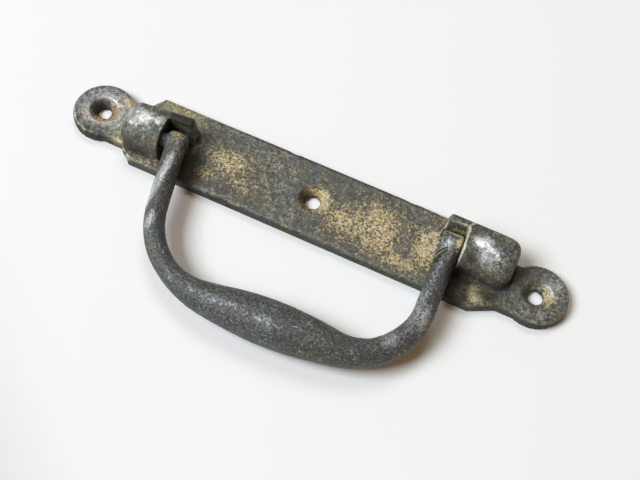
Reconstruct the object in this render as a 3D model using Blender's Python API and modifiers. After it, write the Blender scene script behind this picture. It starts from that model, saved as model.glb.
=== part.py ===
# Folding bail handle in cast brass: a long back plate with two ears, and the bail that hinges in them.
# The plate's back lies on Z = 0, its length runs along X, and the folded bail reaches towards -Y.
# The origin is the middle of the whole footprint, on the mounting surface.

import math

import bmesh
import bpy
from mathutils import Matrix, Vector

MM = 0.001

# Back plate, filed by hand to a slightly uneven outline: a straight body measured each way from the
# middle screw hole, a shoulder and a neck at each end, and a round lug on each neck
PLATE_WIDTH = 25.6 * MM
PLATE_THICKNESS = 4.0 * MM
PLATE_EDGE_ROUND = 0.9 * MM
LEFT_BODY_LENGTH = 57.8 * MM
RIGHT_BODY_LENGTH = 56.2 * MM
LEFT_SHOULDER_LENGTH = 4.2 * MM
RIGHT_SHOULDER_LENGTH = 7.4 * MM
LEFT_NECK_LENGTH = 11.5 * MM
RIGHT_NECK_LENGTH = 9.9 * MM
LEFT_NECK_FRONT = 8.7 * MM
LEFT_NECK_REAR = 6.6 * MM
RIGHT_NECK_FRONT = 9.0 * MM
RIGHT_NECK_REAR = 7.0 * MM
LUG_DIAMETER = 19.6 * MM

# Countersunk screw holes: one in each lug, one in the middle of the body
SCREW_HOLE_DIAMETER = 4.8 * MM
COUNTERSINK_DIAMETER = 9.4 * MM
COUNTERSINK_ANGLE = math.radians(90)

# Hinge line: it runs in front of the middle screw hole and crosses the plate a little askew
HINGE_FORWARD = 1.7 * MM
HINGE_SKEW = math.radians(3.2)

# Ears: a solid boss that holds the pivot, and a stop wall that reaches in behind the bail's eye.
# A boss's inner face is set in from the end of the plate's body
LEFT_BOSS_INSET = 8.2 * MM
RIGHT_BOSS_INSET = 8.3 * MM
LEFT_BOSS_LENGTH = 13.3 * MM
RIGHT_BOSS_LENGTH = 16.6 * MM
BOSS_TOP_WALL = 2.4 * MM
BOSS_FRONT_WALL = 2.4 * MM
EAR_FRONT_ROUND = 6.0 * MM
EAR_REAR_ROUND = 2.8 * MM
EAR_END_ROUND = 4.2 * MM
EAR_EDGE_ROUND = 0.5 * MM
EAR_FILLET = 0.9 * MM
STOP_WALL_LENGTH = 8.4 * MM
STOP_WALL_THICKNESS = 3.5 * MM
LEFT_STOP_WALL_DRAFT = math.radians(2.0)
RIGHT_STOP_WALL_DRAFT = math.radians(10.0)
LEFT_EAR_YAW = math.radians(6.0)
RIGHT_EAR_YAW = math.radians(0.0)

# Bail: two legs, two bends and a grip that swells in the middle
ROD_DIAMETER = 6.5 * MM
GRIP_DIAMETER = 13.9 * MM
GRIP_SWELL_LENGTH = 73.0 * MM
GRIP_SWELL_OFFSET = 6.0 * MM
RIGHT_BEND_DIAMETER = 7.9 * MM
RIGHT_BEND_SWELL_LENGTH = 30.0 * MM
BAIL_REACH = 43.4 * MM
LEFT_LEG_LEAN = math.radians(10.0)
RIGHT_LEG_LEAN = math.radians(0.6)
LEFT_BEND_RADIUS = 26.0 * MM
RIGHT_BEND_RADIUS = 20.5 * MM
GRIP_LIFT = 0.3 * MM

# Eyes and pivots at the ends of the bail; it lies pushed over to the right in its side play
EYE_DIAMETER = 7.2 * MM
EYE_PROUD_OF_ROD = 0.05 * MM
LEFT_EYE_EDGE_ROUND = 1.8 * MM
RIGHT_EYE_EDGE_ROUND = 0.8 * MM
EYE_ABOVE_PLATE = 1.9 * MM
EYE_BEFORE_STOP_WALL = 1.4 * MM
LEFT_SIDE_PLAY = 1.4 * MM
RIGHT_SIDE_PLAY = 0.3 * MM
PIVOT_DIAMETER = 4.2 * MM
PIVOT_LENGTH = 5.5 * MM
PIVOT_CLEARANCE = 0.3 * MM
BORE_END_CLEARANCE = 0.6 * MM

# Places that follow from the sizes above: the lugs and the bosses keep to the ends of the body, the
# eyes swing clear of the plate and of the stop walls, and the bosses stand around the pivot bores
LEFT_NECK = LEFT_BODY_LENGTH + LEFT_SHOULDER_LENGTH
RIGHT_NECK = RIGHT_BODY_LENGTH + RIGHT_SHOULDER_LENGTH
LEFT_LUG = LEFT_NECK + LEFT_NECK_LENGTH
RIGHT_LUG = RIGHT_NECK + RIGHT_NECK_LENGTH
LEFT_BOSS_FACE = LEFT_BODY_LENGTH - LEFT_BOSS_INSET
RIGHT_BOSS_FACE = RIGHT_BODY_LENGTH - RIGHT_BOSS_INSET
BOSS_SPACING = LEFT_BOSS_FACE + RIGHT_BOSS_FACE
HINGE_MIDDLE = (RIGHT_BOSS_FACE - LEFT_BOSS_FACE) / 2
EYE_WIDTH = ROD_DIAMETER + 2 * EYE_PROUD_OF_ROD
BORE_DIAMETER = PIVOT_DIAMETER + 2 * PIVOT_CLEARANCE
HINGE_HEIGHT = PLATE_THICKNESS + EYE_ABOVE_PLATE + EYE_DIAMETER / 2
EAR_HEIGHT = HINGE_HEIGHT + BORE_DIAMETER / 2 + BOSS_TOP_WALL
EAR_FRONT = BORE_DIAMETER / 2 + BOSS_FRONT_WALL
STOP_WALL_FRONT = EYE_DIAMETER / 2 + EYE_BEFORE_STOP_WALL
EAR_REAR = STOP_WALL_FRONT + STOP_WALL_THICKNESS

# Fineness of the facets, and the angles from which an edge is shaded sharp and counts as a corner
SHARP_ANGLE = math.radians(35)
CORNER_ANGLE = math.radians(45)
LUG_STEPS = 28
ROUND_STEPS = 6
FILLET_STEPS = 3
HOLE_STEPS = 32
PIVOT_STEPS = 24
ROD_BEVEL_RESOLUTION = 8
ROD_STEP = 2.4 * MM

# How far cutters and joined shapes run past the faces that they cross, how far a fillet's lower edge
# is sunk in the plate, the steepest start of a lug's arc, and how close points are welded
OVERRUN = 2.0 * MM
FILLET_SINK = 0.05 * MM
STEEPEST_ARC_START = 0.98
WELD = 0.001 * MM


def clear_scene():
    for thing in list(bpy.data.objects):
        bpy.data.objects.remove(thing)


def new_collection(name):
    collection = bpy.data.collections.new(name)
    bpy.context.scene.collection.children.link(collection)
    return collection


def metal(name, colour, roughness, metallic):
    material = bpy.data.materials.new(name)
    material.use_nodes = True
    shader = material.node_tree.nodes["Principled BSDF"]
    shader.inputs["Base Color"].default_value = (*colour, 1.0)
    shader.inputs["Roughness"].default_value = roughness
    shader.inputs["Metallic"].default_value = metallic
    return material


def add_mesh(name, bm, collection):
    """Turn a finished bmesh into an object, shaded smooth with its corners left sharp."""
    mesh = bpy.data.meshes.new(name)
    bm.to_mesh(mesh)
    bm.free()
    mesh.shade_smooth()
    mesh.set_sharp_from_angle(angle=SHARP_ANGLE)
    thing = bpy.data.objects.new(name, mesh)
    collection.objects.link(thing)
    return thing


def add_tool(name, bm):
    """An object that is only joined to another or cut out of it."""
    tool = add_mesh(name, bm, tools)
    tool.hide_render = True
    tool.display_type = "WIRE"
    return tool


def add_empty(name, location, turn, parent):
    empty = bpy.data.objects.new(name, None)
    empty.location = location
    empty.rotation_euler.z = turn
    empty.parent = parent
    handle.objects.link(empty)
    return empty


def box_tool(name, centre, size):
    bm = bmesh.new()
    bmesh.ops.create_cube(bm, size=1, matrix=Matrix.LocRotScale(centre, None, size))
    return add_tool(name, bm)


def combine(target, tool, operation):
    modifier = target.modifiers.new(f"{operation.lower()}_{tool.name}", "BOOLEAN")
    modifier.object = tool
    modifier.operation = operation
    modifier.solver = "EXACT"


def arc(centre, radius, start, end, steps):
    """Points of an arc in a plane, both ends included."""
    angles = [start + (end - start) * i / steps for i in range(steps + 1)]
    return [(centre[0] + radius * math.cos(a), centre[1] + radius * math.sin(a)) for a in angles]


def plate_end(body_length, neck_start, neck_front, neck_rear, lug_middle):
    """Outline of the plate's right-hand end, from its front corner round the lug to its rear corner."""
    lug_radius = LUG_DIAMETER / 2
    front_turn = math.pi - math.asin(min(neck_front / lug_radius, STEEPEST_ARC_START))
    rear_turn = math.pi - math.asin(min(neck_rear / lug_radius, STEEPEST_ARC_START))
    return [
        (body_length, -PLATE_WIDTH / 2),
        (neck_start, -neck_front),
        *arc((lug_middle, 0), lug_radius, -front_turn, rear_turn, LUG_STEPS),
        (neck_start, neck_rear),
        (body_length, PLATE_WIDTH / 2),
    ]


def plate_outline():
    """Outline of the whole plate seen from the front, anticlockwise."""
    right_end = plate_end(RIGHT_BODY_LENGTH, RIGHT_NECK, RIGHT_NECK_FRONT, RIGHT_NECK_REAR, RIGHT_LUG)
    left_end = plate_end(LEFT_BODY_LENGTH, LEFT_NECK, LEFT_NECK_FRONT, LEFT_NECK_REAR, LEFT_LUG)
    return right_end + [(-x, y) for x, y in reversed(left_end)]


def plate_blank():
    """The flat casting, with its front edge rounded over and some depth to spare below its back."""
    curve = bpy.data.curves.new("plate_outline", "CURVE")
    curve.dimensions = "2D"
    curve.fill_mode = "BOTH"
    curve.extrude = (PLATE_THICKNESS + OVERRUN) / 2
    points = plate_outline()
    spline = curve.splines.new("POLY")
    spline.points.add(len(points) - 1)
    for point, (x, y) in zip(spline.points, points):
        point.co = (x, y, 0, 1)
    spline.use_cyclic_u = True
    guide = bpy.data.objects.new("plate_outline", curve)
    tools.objects.link(guide)
    bm = mesh_of_curve(guide)
    bmesh.ops.translate(bm, verts=bm.verts, vec=(0, 0, (PLATE_THICKNESS - OVERRUN) / 2))
    bmesh.ops.dissolve_limit(bm, angle_limit=math.radians(1), verts=bm.verts, edges=bm.edges)
    front = PLATE_THICKNESS - WELD
    rim = [e for e in bm.edges if all(v.co.z > front for v in e.verts) and is_corner(e)]
    bmesh.ops.bevel(bm, geom=rim, offset=PLATE_EDGE_ROUND, segments=3, profile=0.5, affect="EDGES")
    return add_mesh("base_plate", bm, handle)


def mesh_of_curve(guide):
    """The curve's solid as a bmesh with its caps welded on; the curve itself is removed."""
    graph = bpy.context.evaluated_depsgraph_get()
    mesh = bpy.data.meshes.new_from_object(guide.evaluated_get(graph))
    bpy.data.objects.remove(guide)
    bm = bmesh.new()
    bm.from_mesh(mesh)
    bmesh.ops.remove_doubles(bm, verts=bm.verts, dist=WELD)
    bmesh.ops.recalc_face_normals(bm, faces=bm.faces)
    return bm


def is_corner(edge):
    return len(edge.link_faces) == 2 and edge.calc_face_angle() > CORNER_ANGLE


def screw_hole(name, x):
    """A turned cutter: clearance hole with a countersink that opens at the plate's front."""
    hole_radius = SCREW_HOLE_DIAMETER / 2
    sink_radius = COUNTERSINK_DIAMETER / 2
    slope = math.tan(COUNTERSINK_ANGLE / 2)
    sink_depth = (sink_radius - hole_radius) / slope
    top = PLATE_THICKNESS + OVERRUN
    profile = [
        (0, top),
        (sink_radius + OVERRUN * slope, top),
        (hole_radius, PLATE_THICKNESS - sink_depth),
        (hole_radius, -OVERRUN),
        (0, -OVERRUN),
    ]
    bm = bmesh.new()
    verts = [bm.verts.new((r, 0, z)) for r, z in profile]
    for a, b in zip(verts, verts[1:]):
        bm.edges.new((a, b))
    cutter = add_tool(name, bm)
    turn = cutter.modifiers.new("turn", "SCREW")
    turn.steps = HOLE_STEPS
    turn.render_steps = HOLE_STEPS
    turn.use_merge_vertices = True
    turn.merge_threshold = WELD
    cutter.location.x = x
    cutter.parent = footprint
    return cutter


def ear_section(inset):
    """The ear cut across its length, in Y and Z: up the front, over the top and down the rear.

    A hollow fillet runs out on the plate at each foot, and the ear goes on down into the plate.
    """
    front = -EAR_FRONT + inset
    rear = EAR_REAR - inset
    top = EAR_HEIGHT - inset
    front_round = max(EAR_FRONT_ROUND - inset, EAR_EDGE_ROUND)
    rear_round = max(EAR_REAR_ROUND - inset, EAR_EDGE_ROUND)
    over_front = arc((front + front_round, top - front_round), front_round, math.pi, math.pi / 2, ROUND_STEPS)
    over_rear = arc((rear - rear_round, top - rear_round), rear_round, math.pi / 2, 0, ROUND_STEPS)
    fillet_middle = PLATE_THICKNESS - FILLET_SINK + EAR_FILLET
    at_front = arc((front - EAR_FILLET, fillet_middle), EAR_FILLET, -math.pi / 2, 0, FILLET_STEPS)
    at_rear = arc((rear + EAR_FILLET, fillet_middle), EAR_FILLET, math.pi, math.pi * 1.5, FILLET_STEPS)
    foot = -OVERRUN / 2
    return [
        (front - EAR_FILLET, foot), *at_front, *over_front, *over_rear, *at_rear, (rear + EAR_FILLET, foot),
    ]


def ear_stations(boss_length):
    """Places along the ear, from its inner end to its domed outer end, with the inset of each."""
    stations = [(-STOP_WALL_LENGTH, EAR_EDGE_ROUND), (-STOP_WALL_LENGTH + EAR_EDGE_ROUND, 0)]
    dome_start = boss_length - EAR_END_ROUND
    for i in range(ROUND_STEPS + 1):
        angle = math.pi / 2 * i / ROUND_STEPS
        along = dome_start + EAR_END_ROUND * math.sin(angle)
        stations.append((along, EAR_END_ROUND * (1 - math.cos(angle))))
    return stations


def loft(rings):
    bm = bmesh.new()
    rows = [[bm.verts.new(point) for point in ring] for ring in rings]
    for row, following in zip(rows, rows[1:]):
        for i in range(len(row)):
            j = (i + 1) % len(row)
            bm.faces.new((row[i], row[j], following[j], following[i]))
    bm.faces.new(rows[0])
    bm.faces.new(rows[-1])
    bmesh.ops.recalc_face_normals(bm, faces=bm.faces)
    return bm


def drafted(along, height, draft):
    """The stop wall's end face leans back as it rises, so that the casting could leave its mould."""
    lean = (height - PLATE_THICKNESS) * math.tan(draft)
    return along + lean if along < 0 else along


def ear(side_name, side, boss_length, draft, yaw):
    """One ear, lofted along its length; the pocket for the bail's eye is cut square to the hinge line."""
    rings = []
    for x, inset in ear_stations(boss_length):
        rings.append([(side * drafted(x, z, draft), y, z) for y, z in ear_section(inset)])
    body = add_tool(f"{side_name}_ear", loft(rings))
    pocket_length = STOP_WALL_LENGTH + OVERRUN
    pocket_depth = EAR_FRONT + OVERRUN + STOP_WALL_FRONT
    size = Vector((pocket_length, pocket_depth, EAR_HEIGHT + 4 * OVERRUN))
    centre = Vector((-side * pocket_length / 2, STOP_WALL_FRONT - pocket_depth / 2, EAR_HEIGHT / 2))
    pocket = box_tool(f"{side_name}_pocket", centre, size)
    for piece in (body, pocket):
        piece.parent = hinge_line
        piece.location = (side * BOSS_SPACING / 2, 0, -HINGE_HEIGHT)
    body.rotation_euler.z = yaw - HINGE_SKEW
    combine(body, pocket, "DIFFERENCE")
    return body


def round_bar(name, diameter, start, end, edge_round=0.0):
    """A round bar lying along the hinge line, between two places on it."""
    bm = bmesh.new()
    place = Matrix.Translation(((start + end) / 2, 0, 0)) @ Matrix.Rotation(math.pi / 2, 4, "Y")
    bmesh.ops.create_cone(
        bm, cap_ends=True, segments=PIVOT_STEPS, radius1=diameter / 2, radius2=diameter / 2,
        depth=abs(end - start), matrix=place,
    )
    if edge_round:
        rims = [e for e in bm.edges if is_corner(e)]
        bmesh.ops.bevel(bm, geom=rims, offset=edge_round, segments=3, profile=0.5, affect="EDGES")
    bar = add_tool(name, bm)
    bar.parent = hinge_line
    return bar


def back_facing():
    """A flat cutter under the whole plate: it faces off the back at the mounting surface."""
    length = 2 * (LEFT_LUG + RIGHT_LUG)
    width = 4 * PLATE_WIDTH
    facing = box_tool("back_facing", Vector((0, 0, -OVERRUN)), Vector((length, width, 2 * OVERRUN)))
    facing.parent = footprint
    return facing


def base_plate():
    """The whole back plate: one casting, with both ears, the pivot bores and the screw holes."""
    plate = plate_blank()
    plate.parent = footprint
    ears = (
        ("left", -1, LEFT_BOSS_LENGTH, LEFT_STOP_WALL_DRAFT, LEFT_EAR_YAW),
        ("right", 1, RIGHT_BOSS_LENGTH, RIGHT_STOP_WALL_DRAFT, RIGHT_EAR_YAW),
    )
    bore_start = BOSS_SPACING / 2 - OVERRUN
    bore_end = BOSS_SPACING / 2 + PIVOT_LENGTH + BORE_END_CLEARANCE
    for ear_form in ears:
        combine(plate, ear(*ear_form), "UNION")
    combine(plate, back_facing(), "DIFFERENCE")
    for side_name, side in (("left", -1), ("right", 1)):
        bore = round_bar(f"{side_name}_bore", BORE_DIAMETER, side * bore_start, side * bore_end)
        combine(plate, bore, "DIFFERENCE")
    for name, x in (("left", -LEFT_LUG), ("middle", 0), ("right", RIGHT_LUG)):
        combine(plate, screw_hole(f"{name}_screw_hole", x), "DIFFERENCE")
    return plate


def eye_face(side_play):
    """Distance from the middle of the hinge line to the outer face of an eye."""
    return BOSS_SPACING / 2 - side_play


def bail_corners():
    """Ends and corners of the bail's centre line, in the plane of the bail, hinge line along X."""
    left_eye = -eye_face(LEFT_SIDE_PLAY) + EYE_WIDTH / 2
    right_eye = eye_face(RIGHT_SIDE_PLAY) - EYE_WIDTH / 2
    left_in = BAIL_REACH * math.tan(LEFT_LEG_LEAN)
    right_in = BAIL_REACH * math.tan(RIGHT_LEG_LEAN)
    return [
        Vector((left_eye, 0, 0)),
        Vector((left_eye + left_in, -BAIL_REACH, 0)),
        Vector((right_eye - right_in, -BAIL_REACH, 0)),
        Vector((right_eye, 0, 0)),
    ]


def rounded_route(corners, radii):
    """Points along straight runs between the corners, with each inner corner rounded."""
    route = [corners[0]]
    for before, corner, after, radius in zip(corners, corners[1:], corners[2:], radii):
        into = (corner - before).normalized()
        out = (after - corner).normalized()
        turn = into.angle(out)
        inward = (out - into * into.dot(out)).normalized()
        start = corner - into * radius * math.tan(turn / 2)
        centre = start + inward * radius
        steps = math.ceil(turn * radius / ROD_STEP)
        for i in range(steps + 1):
            a = turn * i / steps
            route.append(centre + into * radius * math.sin(a) - inward * radius * math.cos(a))
    route.append(corners[-1])
    return route


def even_points(route):
    """The same route with its points spread evenly, and each point's distance from the start."""
    lengths = [0.0]
    for a, b in zip(route, route[1:]):
        lengths.append(lengths[-1] + (b - a).length)
    count = math.ceil(lengths[-1] / ROD_STEP)
    points = []
    leg = 0
    for i in range(count + 1):
        along = lengths[-1] * i / count
        while leg < len(route) - 2 and along > lengths[leg + 1]:
            leg += 1
        share = (along - lengths[leg]) / (lengths[leg + 1] - lengths[leg])
        points.append((along, route[leg].lerp(route[leg + 1], min(share, 1.0))))
    return points


def swell(distance, length):
    """A smooth swelling: one at its middle, nothing from half its length outwards."""
    share = 2 * distance / length
    return max(0.0, 1 - share * share) ** 2


def distance_at(points, x):
    """How far along the bail its front half passes a place given along the hinge line."""
    front_half = [(abs(p.x - x), along) for along, p in points if p.y < -BAIL_REACH / 2]
    return min(front_half)[1]


def bail_rod():
    """The swept rod of the bail: legs, bends and grip, thicker where the hand holds it."""
    left, left_corner, right_corner, right = bail_corners()
    route = rounded_route([left, left_corner, right_corner, right], [LEFT_BEND_RADIUS, RIGHT_BEND_RADIUS])
    points = even_points(route)
    grip_middle = distance_at(points, GRIP_SWELL_OFFSET)
    bend_middle = distance_at(points, right_corner.x - RIGHT_BEND_RADIUS * (1 - math.cos(math.pi / 4)))
    curve = bpy.data.curves.new("bail_rod", "CURVE")
    curve.dimensions = "3D"
    curve.twist_mode = "Z_UP"
    curve.bevel_depth = ROD_DIAMETER / 2
    curve.bevel_resolution = ROD_BEVEL_RESOLUTION
    curve.use_fill_caps = True
    spline = curve.splines.new("POLY")
    spline.points.add(len(points) - 1)
    for knot, (along, place) in zip(spline.points, points):
        extra = (GRIP_DIAMETER - ROD_DIAMETER) * swell(along - grip_middle, GRIP_SWELL_LENGTH)
        extra += (RIGHT_BEND_DIAMETER - ROD_DIAMETER) * swell(along - bend_middle, RIGHT_BEND_SWELL_LENGTH)
        knot.co = (*place, 1)
        knot.radius = 1 + extra / ROD_DIAMETER
    guide = bpy.data.objects.new("bail_rod", curve)
    tools.objects.link(guide)
    return add_mesh("bail", mesh_of_curve(guide), handle)


def bail():
    """The bail: one bent rod with a rounded eye and a short pivot at each end."""
    rod = bail_rod()
    dip = math.asin((HINGE_HEIGHT - GRIP_DIAMETER / 2 - GRIP_LIFT) / BAIL_REACH)
    rod.parent = hinge_line
    rod.rotation_euler.x = dip
    pivot_end = BOSS_SPACING / 2 + PIVOT_LENGTH
    eyes = (
        ("left", -1, LEFT_SIDE_PLAY, LEFT_EYE_EDGE_ROUND),
        ("right", 1, RIGHT_SIDE_PLAY, RIGHT_EYE_EDGE_ROUND),
    )
    for side_name, side, side_play, edge_round in eyes:
        face = eye_face(side_play)
        inner = face - EYE_WIDTH
        eye = round_bar(f"{side_name}_eye", EYE_DIAMETER, side * inner, side * face, edge_round)
        middle = face - EYE_WIDTH / 2
        pivot = round_bar(f"{side_name}_pivot", PIVOT_DIAMETER, side * middle, side * pivot_end)
        combine(rod, eye, "UNION")
        combine(rod, pivot, "UNION")
    return rod


def centre_footprint(parts):
    """Shift the whole handle so that the middle of its footprint is the origin."""
    bpy.context.view_layer.update()
    graph = bpy.context.evaluated_depsgraph_get()
    corners = []
    for part in parts:
        solid = part.evaluated_get(graph)
        corners += [part.matrix_world @ vertex.co for vertex in solid.to_mesh().vertices]
        solid.to_mesh_clear()
    for axis in (0, 1):
        across = [corner[axis] for corner in corners]
        footprint.location[axis] = -(min(across) + max(across)) / 2
    bpy.context.view_layer.update()


clear_scene()
handle = new_collection("brass_bail_handle")
tools = new_collection("cutters")
footprint = add_empty("footprint", (0, 0, 0), 0, None)
hinge_place = (HINGE_MIDDLE, -HINGE_FORWARD, HINGE_HEIGHT)
hinge_line = add_empty("hinge_line", hinge_place, HINGE_SKEW, footprint)

plate_casting = base_plate()
plate_casting.data.materials.append(metal("plate_brass", (0.20, 0.185, 0.15), 0.62, 0.75))
bail_casting = bail()
bail_casting.data.materials.append(metal("bail_brass", (0.14, 0.145, 0.145), 0.5, 0.8))
centre_footprint([plate_casting, bail_casting])
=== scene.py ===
import math

import bmesh
import bpy
import numpy as np
from mathutils import Matrix, Vector


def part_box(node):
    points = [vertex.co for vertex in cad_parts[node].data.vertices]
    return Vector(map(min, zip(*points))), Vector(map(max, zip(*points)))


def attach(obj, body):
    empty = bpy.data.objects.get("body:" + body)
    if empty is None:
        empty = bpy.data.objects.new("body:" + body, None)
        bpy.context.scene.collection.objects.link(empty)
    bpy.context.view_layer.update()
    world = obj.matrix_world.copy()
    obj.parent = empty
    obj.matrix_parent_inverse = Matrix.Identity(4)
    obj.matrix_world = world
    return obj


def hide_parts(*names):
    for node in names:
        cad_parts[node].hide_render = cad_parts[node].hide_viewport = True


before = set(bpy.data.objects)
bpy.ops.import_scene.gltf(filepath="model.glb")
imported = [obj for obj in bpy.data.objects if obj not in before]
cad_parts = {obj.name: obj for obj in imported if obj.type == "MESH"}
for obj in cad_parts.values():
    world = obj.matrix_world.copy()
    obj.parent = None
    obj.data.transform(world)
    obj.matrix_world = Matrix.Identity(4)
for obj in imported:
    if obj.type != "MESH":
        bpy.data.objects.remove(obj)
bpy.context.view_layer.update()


# The back plate and its two ears: one sand casting in brass, filed along its edges, drilled
# and countersunk for three screws. Age has turned it dark grey, with bare ochre metal where
# it was rubbed, green crust in its corners and rust round the left screw hole. Painted shade,
# painted shadows of the legs, painted sheen on the ears and painted light in the right ear's
# pocket are laid into its colour as well.

PLATE_CELL = 0.00038
PLATE_SOFTENING = 2
PLATE_SEED = 3.0
EDGE_EASE = 0.5
# Scratches are drawn out along the lay, where their pattern runs at this share of its pace.
LAY_DRAW = 0.25
# A patch is full in its middle third, and gone at five thirds of its half sizes.
PATCH_CORE = 1.25
PATCH_FALL = 0.75

# Each patch is the middle, the half sizes and the strength, in metres on the part.
PLATE_BARE = (
    ((-0.0290, 0.0195, 0.004), (0.0110, 0.0066, 0.004), 0.73),
    ((-0.0345, 0.0130, 0.004), (0.0056, 0.0036, 0.004), 0.74),
    ((-0.0215, 0.0140, 0.004), (0.0090, 0.0046, 0.004), 0.60),
    ((-0.0145, 0.0110, 0.004), (0.0050, 0.0030, 0.004), 0.35),
    ((-0.0100, 0.0265, 0.004), (0.0040, 0.0030, 0.004), 0.50),
    ((0.0140, 0.0165, 0.004), (0.0125, 0.0080, 0.004), 0.72),
    ((0.0215, 0.0200, 0.004), (0.0130, 0.0098, 0.004), 0.76),
    ((0.0235, 0.0140, 0.004), (0.0105, 0.0066, 0.004), 0.72),
    ((0.0380, 0.0200, 0.004), (0.0060, 0.0105, 0.004), 0.84),
    ((0.0330, 0.0110, 0.004), (0.0090, 0.0040, 0.004), 0.74),
    ((0.0400, 0.0290, 0.004), (0.0040, 0.0040, 0.004), 0.55),
    # These two paint light onto the right stop wall's shaded front face and the corner beside it.
    ((0.0448, 0.0264, 0.0102), (0.0044, 0.0011, 0.0024), 1.60),
    ((0.0477, 0.0250, 0.0120), (0.0008, 0.0018, 0.0030), 1.40),
    ((-0.0560, 0.0115, 0.0095), (0.0080, 0.0030, 0.0050), 0.42),
    ((0.0560, 0.0150, 0.0100), (0.0080, 0.0040, 0.0050), 0.36),
    ((0.0505, 0.0225, 0.0140), (0.0016, 0.0030, 0.0020), 0.55),
    ((0.0560, 0.0115, 0.004), (0.0070, 0.0040, 0.004), 0.86),
    ((-0.0520, 0.0085, 0.004), (0.0070, 0.0030, 0.004), 0.60),
    ((0.0022, 0.0195, 0.003), (0.0056, 0.0056, 0.003), 1.00),
    ((-0.0005, 0.0225, 0.003), (0.0034, 0.0020, 0.003), 0.80),
    ((0.0764, 0.0200, 0.003), (0.0036, 0.0040, 0.003), 0.92),
    ((-0.0674, 0.0252, 0.003), (0.0036, 0.0034, 0.003), 0.88),
    ((-0.0642, 0.0172, 0.005), (0.0013, 0.0038, 0.0026), 0.95),
    ((-0.0623, 0.0116, 0.005), (0.0013, 0.0036, 0.0026), 0.95),
    ((-0.0637, 0.0108, 0.003), (0.0028, 0.0032, 0.003), 0.86),
    ((-0.0500, 0.0300, 0.004), (0.0100, 0.0030, 0.002), 0.62),
    ((-0.0735, 0.0185, 0.003), (0.0070, 0.0065, 0.003), 0.62),
    ((-0.0728, 0.0152, 0.003), (0.0036, 0.0013, 0.003), 0.95),
)
PLATE_GREEN = (
    ((-0.0515, 0.0290, 0.004), (0.0120, 0.0045, 0.004), 1.05),
    ((-0.0400, 0.0265, 0.004), (0.0090, 0.0050, 0.004), 0.55),
    ((-0.0655, 0.0190, 0.003), (0.0034, 0.0105, 0.004), 1.10),
    ((-0.0560, 0.0080, 0.003), (0.0070, 0.0040, 0.004), 0.65),
    ((0.0410, 0.0300, 0.004), (0.0060, 0.0030, 0.004), 0.60),
    ((0.0640, 0.0195, 0.003), (0.0040, 0.0080, 0.004), 0.55),
    ((-0.0050, 0.0185, 0.004), (0.0035, 0.0050, 0.004), 0.35),
)
PLATE_RUST = (
    ((-0.0728, 0.0160, 0.0030), (0.0036, 0.0022, 0.0030), 1.15),
    ((-0.0703, 0.0202, 0.0030), (0.0024, 0.0038, 0.0030), 1.20),
    ((-0.0780, 0.0147, 0.0040), (0.0016, 0.0014, 0.0020), 0.62),
    ((-0.0722, 0.0178, 0.0016), (0.0028, 0.0026, 0.0020), 1.20),
    ((-0.0008, 0.0218, 0.0030), (0.0034, 0.0024, 0.0030), 0.80),
)
# The lugs were faced with a turning cutter: (middle, radius, half width, depth) of each ring.
RING_SOOT = 0.40
LUG_RINGS = (
    ((-0.0734, 0.0197), 0.0087, 0.00046, 0.00012),
    ((-0.0737, 0.0193), 0.0071, 0.00036, 0.00006),
    ((0.0735, 0.0195), 0.0086, 0.00042, 0.00008),
)
PLATE_POLISH = (
    # The first six, on the ears' crowns, also paint sheen where the highlights lie.
    ((-0.0585, 0.0170, 0.0140), (0.0068, 0.0034, 0.0040), 1.04),
    ((-0.0590, 0.0145, 0.0140), (0.0026, 0.0016, 0.0040), 0.90),
    ((-0.0520, 0.0178, 0.0140), (0.0030, 0.0024, 0.0040), 0.85),
    ((0.0532, 0.0226, 0.0142), (0.0034, 0.0026, 0.0040), 1.15),
    ((0.0562, 0.0205, 0.0138), (0.0030, 0.0028, 0.0040), 1.12),
    ((0.0560, 0.0180, 0.0130), (0.0050, 0.0020, 0.0040), 0.70),
    ((-0.0735, 0.0195, 0.0040), (0.0105, 0.0105, 0.0015), 0.80),
    ((-0.0715, 0.0250, 0.0040), (0.0050, 0.0030, 0.0015), 0.60),
    ((0.0775, 0.0235, 0.0040), (0.0060, 0.0060, 0.0015), 0.62),
)
# Soot and dirt, and painted shadows of the legs on the plate.
PLATE_SOOT = (
    ((-0.0450, 0.0212, 0.0142), (0.0055, 0.0024, 0.0016), 1.00),
    ((-0.0575, 0.0095, 0.0070), (0.0090, 0.0018, 0.0040), 0.60),
    ((0.0440, 0.0295, 0.0143), (0.0040, 0.0022, 0.0010), 0.60),
    ((0.0510, 0.0170, 0.0125), (0.0030, 0.0030, 0.0030), 0.50),
    ((-0.0480, 0.0170, 0.0080), (0.0040, 0.0050, 0.0060), 0.80),
    # These three paint the legs' shadows onto the plate beside them, partly over dirt.
    ((-0.0385, 0.0115, 0.0040), (0.0055, 0.0070, 0.0030), 0.75),
    ((-0.0345, 0.0150, 0.0040), (0.0040, 0.0050, 0.0030), 0.35),
    ((0.0502, 0.0100, 0.0040), (0.0042, 0.0075, 0.0045), 1.30),
    ((0.0000, 0.0322, 0.0040), (0.0500, 0.0010, 0.0012), 0.80),
    ((-0.0735, 0.0110, 0.0025), (0.0090, 0.0030, 0.0016), 0.80),
    ((0.0600, 0.0125, 0.0050), (0.0050, 0.0025, 0.0030), 0.70),
    ((0.0670, 0.0215, 0.0040), (0.0030, 0.0060, 0.0020), 0.50),
    ((-0.0765, 0.0205, 0.0010), (0.0035, 0.0040, 0.0030), 0.95),
    ((-0.0030, 0.0195, 0.0010), (0.0025, 0.0030, 0.0030), 0.80),
    ((0.0705, 0.0195, 0.0010), (0.0025, 0.0030, 0.0030), 0.50),
)
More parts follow.
